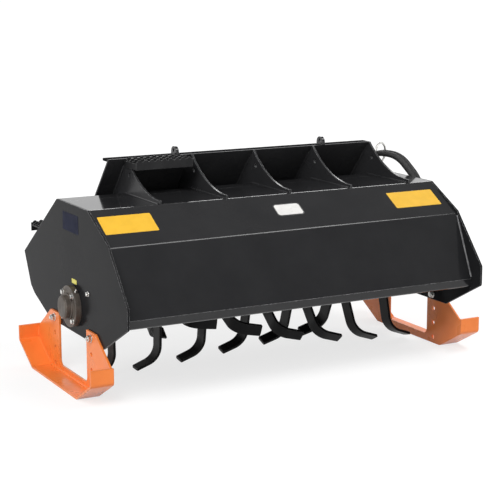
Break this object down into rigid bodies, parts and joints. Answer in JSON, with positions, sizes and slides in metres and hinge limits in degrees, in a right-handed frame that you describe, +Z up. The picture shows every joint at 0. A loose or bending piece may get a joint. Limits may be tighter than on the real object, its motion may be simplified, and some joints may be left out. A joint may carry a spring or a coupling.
{
  "type": "skid steer rotary tiller",
  "caption": "Rotary tiller for a skid steer: folded steel hood with quick attach plate on gussets, orange skid shoes, and a free-turning rotor of L-shaped tines driven by a hydraulic motor.",
  "frame": {"origin": "floor under the middle of the machine's box", "axes": "+X across the machine to the motor's end, +Y to the carrier, +Z up"},
  "size_m": [1.676, 1.032, 0.835],
  "materials": {
    "charcoal_paint": "semi-gloss dark grey powder coat",
    "orange_paint": "gloss orange paint",
    "tine_black": "satin black paint",
    "bearing_iron": "oiled cast iron",
    "motor_black": "satin black paint",
    "hose_rubber": "matt black hose cover",
    "clip_plastic": "moulded black",
    "zinc_steel": "bright zinc plate",
    "tread_black": "coarse textured dark paint"
  },
  "bodies": {
    "frame": {"attach_plate": "charcoal_paint", "bearing_cap": "bearing_iron", "bearing_flange": "bearing_iron", "coupler_holder": "clip_plastic", "coupler_tab": "charcoal_paint", "couplers": "zinc_steel", "deck_shell": "charcoal_paint", "front_lip": "charcoal_paint", "front_panel": "charcoal_paint", "gusset_1": "charcoal_paint", "gusset_2": "charcoal_paint", "gusset_3": "charcoal_paint", "gusset_4": "charcoal_paint", "gusset_5": "charcoal_paint", "hook_lip": "charcoal_paint", "hose_clip": "clip_plastic", "hose_guide": "zinc_steel", "hose_pressure": "hose_rubber", "hose_return": "hose_rubber", "hydraulic_motor": "motor_black", "latch_ledge": "charcoal_paint", "lift_lug_left": "charcoal_paint", "lift_lug_right": "charcoal_paint", "motor_flange": "bearing_iron", "rear_skirt": "charcoal_paint", "rear_step": "tread_black", "side_plate_left": "charcoal_paint", "side_plate_right": "charcoal_paint", "skid_sole_left": "orange_paint", "skid_sole_right": "orange_paint", "skid_upright_left": "orange_paint", "skid_upright_right": "orange_paint", "upper_step": "tread_black"},
    "rotor": {"rotor_tube": "tine_black", "tine_flanges": "tine_black", "tines_1": "tine_black", "tines_2": "tine_black", "tines_3": "tine_black", "tines_4": "tine_black", "tines_5": "tine_black", "tines_6": "tine_black", "tines_7": "tine_black"}
  },
  "joints": [
    {"name": "rotor_spin", "type": "hinge", "parent": "frame", "child": "rotor", "pos_m": [0, -0.014, 0.288], "axis": [1, 0, 0], "continuous": true}
  ]
}
